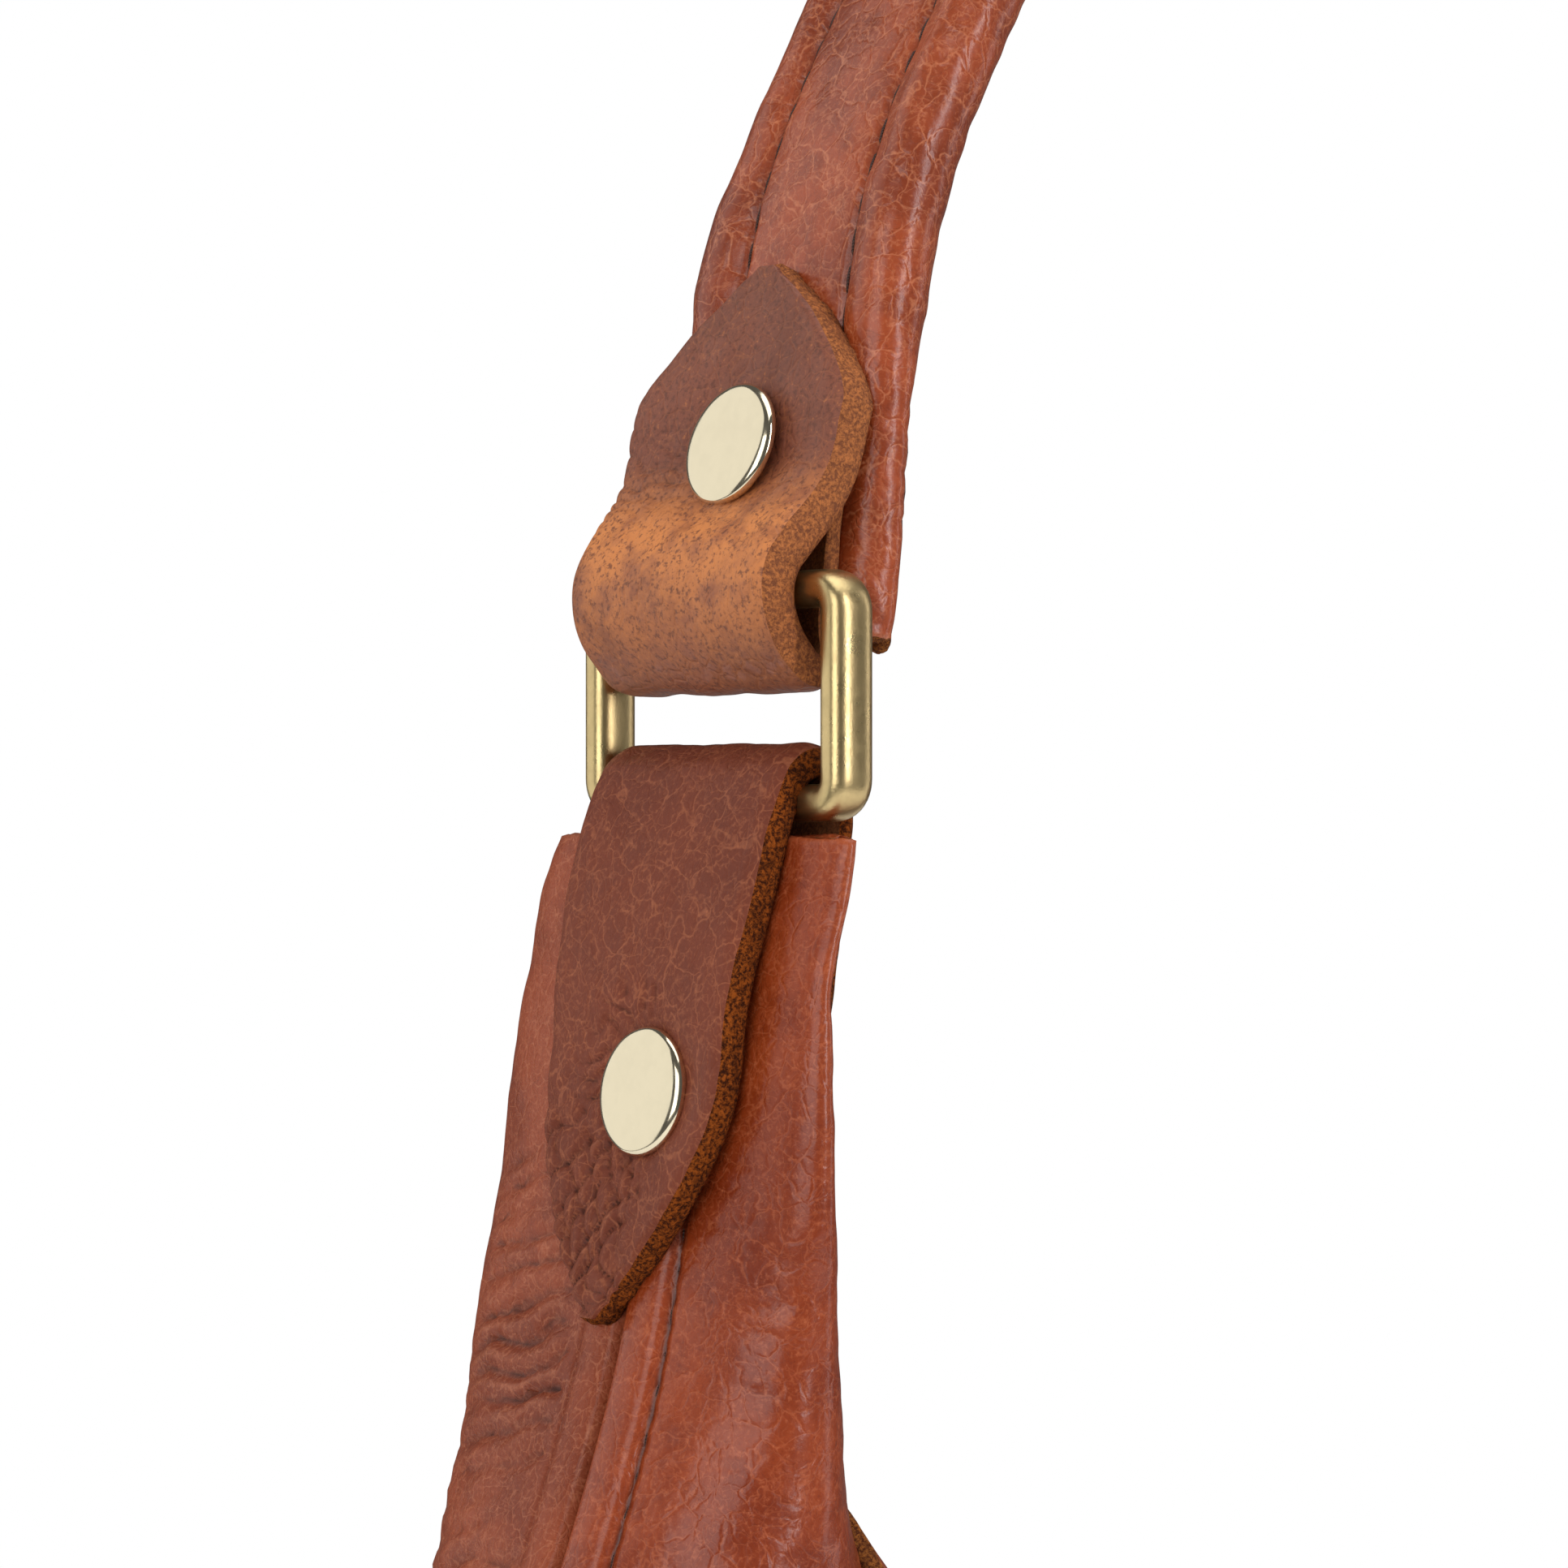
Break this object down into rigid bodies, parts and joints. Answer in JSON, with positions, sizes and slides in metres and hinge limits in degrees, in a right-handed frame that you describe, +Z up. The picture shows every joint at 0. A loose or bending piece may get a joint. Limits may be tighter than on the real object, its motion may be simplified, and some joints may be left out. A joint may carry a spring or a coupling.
{
  "type": "sling bag",
  "caption": "Soft leather shoulder sling bag with an arched padded strap that swings from the body on two rectangular rings held by riveted leather tabs.",
  "frame": {"origin": "the hanging point: the middle of the strap's underside at its crown", "axes": "+X along the bag to its right-hand end, +Y from the front panel to the back panel, +Z up towards the strap's crown"},
  "size_m": [0.4189, 0.1122, 0.4407],
  "materials": {
    "bridle_leather": "pebbled pull-up leather, semi-gloss",
    "tab_leather": "smooth waxed leather, satin, raw cut edges",
    "grain_tab_leather": "pebbled pull-up leather, satin, raw cut edges",
    "suede_side": "raw suede flesh side, matte",
    "tape": "woven cotton tape, matte",
    "core_foam": "felt padding, matte",
    "pale_brass": "pale cast brass, semi-polished, slightly grainy",
    "polished_brass": "polished pale gold",
    "snap_metal": "plated steel, satin"
  },
  "bodies": {
    "strap": {"strap_cover": "bridle_leather", "strap_core": "core_foam", "strap_lining": "suede_side", "upper_tab_left": "tab_leather", "upper_tab_right": "tab_leather", "upper_rivet_caps": "polished_brass", "upper_rivet_posts": "polished_brass", "upper_rivet_back_caps": "polished_brass"},
    "ring_left": {"ring_left": "pale_brass"},
    "ring_right": {"ring_right": "pale_brass"},
    "bag": {"front_panel": "bridle_leather", "back_panel": "bridle_leather", "lower_tab_left": "grain_tab_leather", "lower_tab_right": "grain_tab_leather", "lower_rivet_caps": "polished_brass", "lower_rivet_posts": "polished_brass", "lower_rivet_back_caps": "polished_brass", "neck_filler_left": "suede_side", "neck_filler_right": "suede_side", "seam_tape": "tape", "inner_pocket": "suede_side", "snap_patch_front": "suede_side", "snap_patch_back": "suede_side", "snap_stud": "snap_metal", "snap_socket": "snap_metal", "snap_washer_front": "snap_metal", "snap_washer_back": "snap_metal"}
  },
  "joints": [
    {"name": "ring_left_swing", "type": "hinge", "parent": "strap", "child": "ring_left", "pos_m": [-0.18113, 0, -0.12682], "axis": [0, 1, 0], "range_deg": [-40, 40]},
    {"name": "bag_swing", "type": "hinge", "parent": "ring_left", "child": "bag", "pos_m": [-0.18113, 0, -0.14262], "axis": [0, 1, 0], "range_deg": [-40, 40]},
    {"name": "ring_right_swing", "type": "hinge", "parent": "strap", "child": "ring_right", "pos_m": [0.18113, 0, -0.12682], "axis": [0, 1, 0], "range_deg": [-40, 40]}
  ],
  "couplings": [
    {"joint": "bag_swing", "follows": "ring_left_swing", "ratio": -1},
    {"joint": "ring_right_swing", "follows": "ring_left_swing", "ratio": 1}
  ]
}
